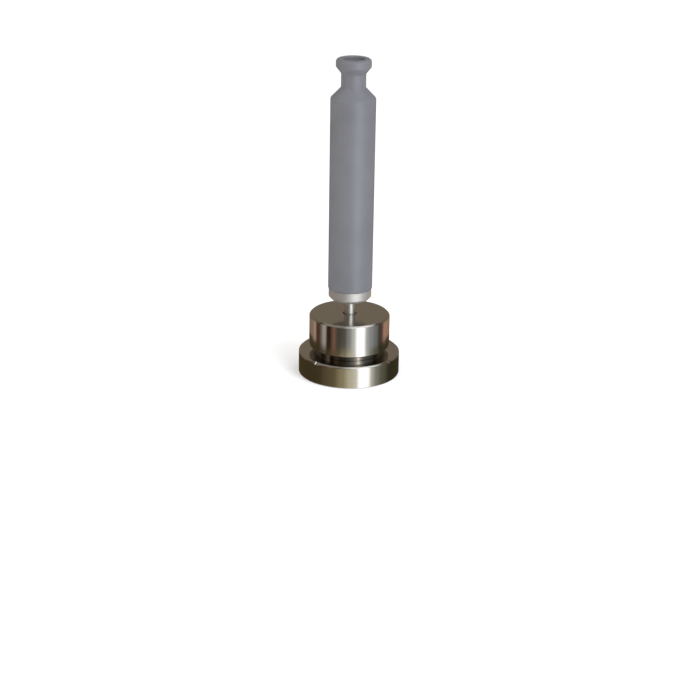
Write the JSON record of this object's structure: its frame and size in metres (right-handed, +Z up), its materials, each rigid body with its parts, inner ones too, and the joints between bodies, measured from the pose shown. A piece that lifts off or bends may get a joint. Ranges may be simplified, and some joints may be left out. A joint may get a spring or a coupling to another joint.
{
  "type": "jar lifter",
  "caption": "Upright magnetic jar lifter with a grey moulded grip on a sprung steel rod that presses down through a turned steel pot and magnetic base ring.",
  "frame": {"origin": "middle of the underside of the base ring, where it meets the lid", "axes": "+Z up along the rod and the grip, which is the axis of every piece; X and Y lie in the lid's plane"},
  "size_m": [0.0396, 0.0396, 0.1245],
  "materials": {
    "turned_steel": "turned and polished stainless steel",
    "polished_steel": "ground and polished stainless steel",
    "plain_steel": "plain steel",
    "black_steel": "black oxide on steel",
    "nickel": "nickel plate",
    "brass": "turned brass",
    "bronze": "sintered bronze",
    "aluminium": "drawn tube",
    "satin_aluminium": "satin anodised",
    "grey_polymer": "fine moulded satin",
    "dark_polymer": "moulded matt",
    "acetal": "moulded white",
    "rubber": "black nitrile",
    "silicone": "food-grade silicone"
  },
  "bodies": {
    "base": {"base_ring": "turned_steel", "lid_pad": "silicone", "magnet": "nickel", "spacer_ring": "brass", "keeper_plate": "plain_steel", "spigot": "black_steel", "pot_shell": "turned_steel", "upper_bush": "bronze", "lower_bush": "bronze", "rod_wiper": "rubber", "spring_seat": "plain_steel", "return_spring": "plain_steel"},
    "slide": {"thrust_washer": "plain_steel"},
    "handle": {"plunger_rod": "polished_steel", "retaining_clip": "plain_steel", "push_foot": "acetal", "foot_screw": "plain_steel", "ferrule": "satin_aluminium", "ferrule_seal": "rubber", "core_tube": "aluminium", "grip": "grey_polymer", "top_washer": "plain_steel", "slotted_nut": "plain_steel", "end_plug": "dark_polymer"}
  },
  "joints": [
    {"name": "handle_press", "type": "slide", "parent": "base", "child": "slide", "axis": [0, 0, 1], "range_m": [-0.0055, 0], "stiffness_N_per_m": 800, "springref_m": 0.005, "deforming": ["return_spring"]},
    {"name": "handle_turn", "type": "hinge", "parent": "slide", "child": "handle", "pos_m": [0, 0, 0], "axis": [0, 0, 1], "continuous": true}
  ]
}
